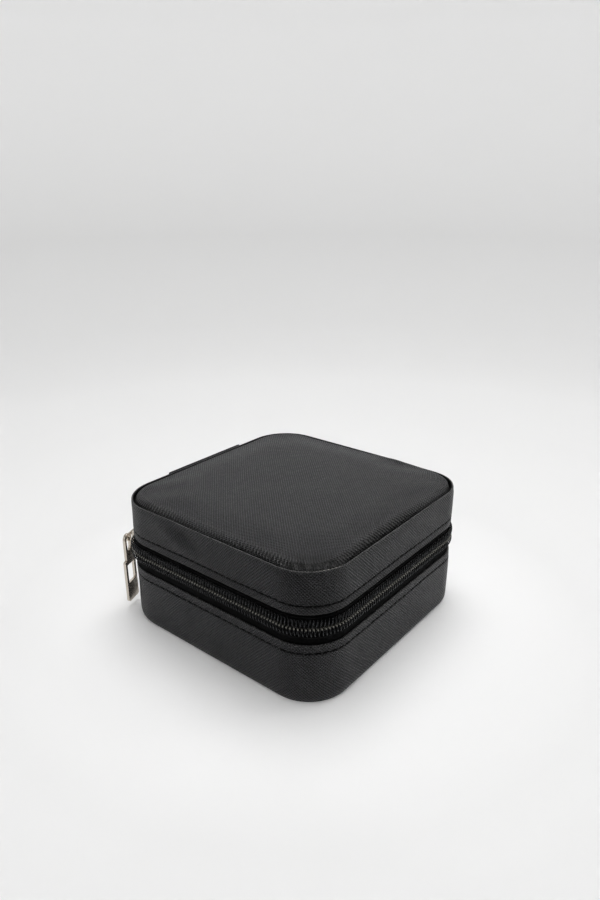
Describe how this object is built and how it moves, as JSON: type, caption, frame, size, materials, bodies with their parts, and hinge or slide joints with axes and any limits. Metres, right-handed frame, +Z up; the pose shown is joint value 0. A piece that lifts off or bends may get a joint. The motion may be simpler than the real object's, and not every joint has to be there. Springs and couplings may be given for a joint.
{
  "type": "jewellery case",
  "caption": "Square zip-round travel jewellery case in black cross-grain leather, with a hinged padded lid, ring rolls, dividers and a lid pocket.",
  "frame": {"origin": "centre of the square underside that the case rests on", "axes": "+Z up; +Y towards the rear wall with the leather hinge; +X to the right when seen from the front"},
  "size_m": [0.1018, 0.1065, 0.0526],
  "materials": {
    "black_leather": "cross-hatched saffiano grain, satin",
    "grey_board": "pressed greyboard",
    "black_plastic": "matt",
    "foam": "open foam",
    "velvet": "short velvet pile",
    "pocket_cloth": "soft woven satin",
    "zip_tape": "ribbed woven tape",
    "zip_coil": "glossy nylon coil",
    "nickel": "polished warm nickel plate",
    "thread": "twisted polyester"
  },
  "bodies": {
    "base": {"base_bottom_panel": "black_leather", "base_floor_board": "grey_board", "base_floor_lining": "velvet", "base_cover": "black_leather", "base_padding": "foam", "base_frame": "black_plastic", "base_lining": "velvet", "centre_partition": "velvet", "ring_roll_1": "velvet", "ring_roll_2": "velvet", "ring_roll_3": "velvet", "ring_roll_4": "velvet", "zipper_tape_base": "zip_tape", "zipper_coil_base": "zip_coil", "hinge_strap": "black_leather", "hinge_inner_strip": "zip_tape", "base_stitching": "thread"},
    "lid": {"lid_cover": "black_leather", "lid_padding": "foam", "lid_frame": "black_plastic", "lid_lining": "velvet", "lid_ceiling": "velvet", "lid_top_board": "grey_board", "lid_top_foam": "foam", "lid_top_leather": "black_leather", "hook_strip": "black_leather", "snap_studs": "nickel", "lid_pocket": "pocket_cloth", "pocket_elastic": "pocket_cloth", "zipper_tape_lid": "zip_tape", "zipper_coil_lid": "zip_coil", "zipper_tape_lid_in_slider": "zip_tape", "zipper_coil_lid_in_slider": "zip_coil", "lid_stitching": "thread"},
    "divider_left": {"divider_left": "velvet"},
    "divider_right": {"divider_right": "velvet"},
    "necklace_tab_1": {"necklace_tab_1": "black_leather", "snap_cap_1": "nickel"},
    "necklace_tab_2": {"necklace_tab_2": "black_leather", "snap_cap_2": "nickel"},
    "necklace_tab_3": {"necklace_tab_3": "black_leather", "snap_cap_3": "nickel"},
    "slider": {"slider_body": "nickel", "slider_bail": "nickel"},
    "pull": {"pull_tab": "nickel"}
  },
  "joints": [
    {"name": "lid_hinge", "type": "hinge", "parent": "base", "child": "lid", "pos_m": [0, 0.0512, 0.0302], "axis": [-1, 0, 0], "range_deg": [0, 180], "deforming": ["hinge_strap", "hinge_inner_strip", "zipper_tape_lid_in_slider", "zipper_coil_lid_in_slider"]},
    {"name": "slider_travel", "type": "hinge", "parent": "base", "child": "slider", "pos_m": [-0.033, 0.033, 0.0302], "axis": [0, 0, 1], "range_deg": [-6.5, 50]},
    {"name": "pull_swing", "type": "hinge", "parent": "slider", "child": "pull", "pos_m": [-0.04491, 0.05073, 0.0302], "axis": [-0.3746, 0.9272, 0], "range_deg": [-60, 90]},
    {"name": "divider_left_lift", "type": "slide", "parent": "base", "child": "divider_left", "axis": [0, 0, 1], "range_m": [0, 0.014]},
    {"name": "divider_right_lift", "type": "slide", "parent": "base", "child": "divider_right", "axis": [0, 0, 1], "range_m": [0, 0.014]},
    {"name": "necklace_tab_1_flap", "type": "hinge", "parent": "lid", "child": "necklace_tab_1", "pos_m": [-0.024, -0.0417, 0.04405], "axis": [-1, 0, 0], "range_deg": [0, 95]},
    {"name": "necklace_tab_2_flap", "type": "hinge", "parent": "lid", "child": "necklace_tab_2", "pos_m": [0, -0.0417, 0.04405], "axis": [-1, 0, 0], "range_deg": [0, 95]},
    {"name": "necklace_tab_3_flap", "type": "hinge", "parent": "lid", "child": "necklace_tab_3", "pos_m": [0.024, -0.0417, 0.04405], "axis": [-1, 0, 0], "range_deg": [0, 95]}
  ]
}
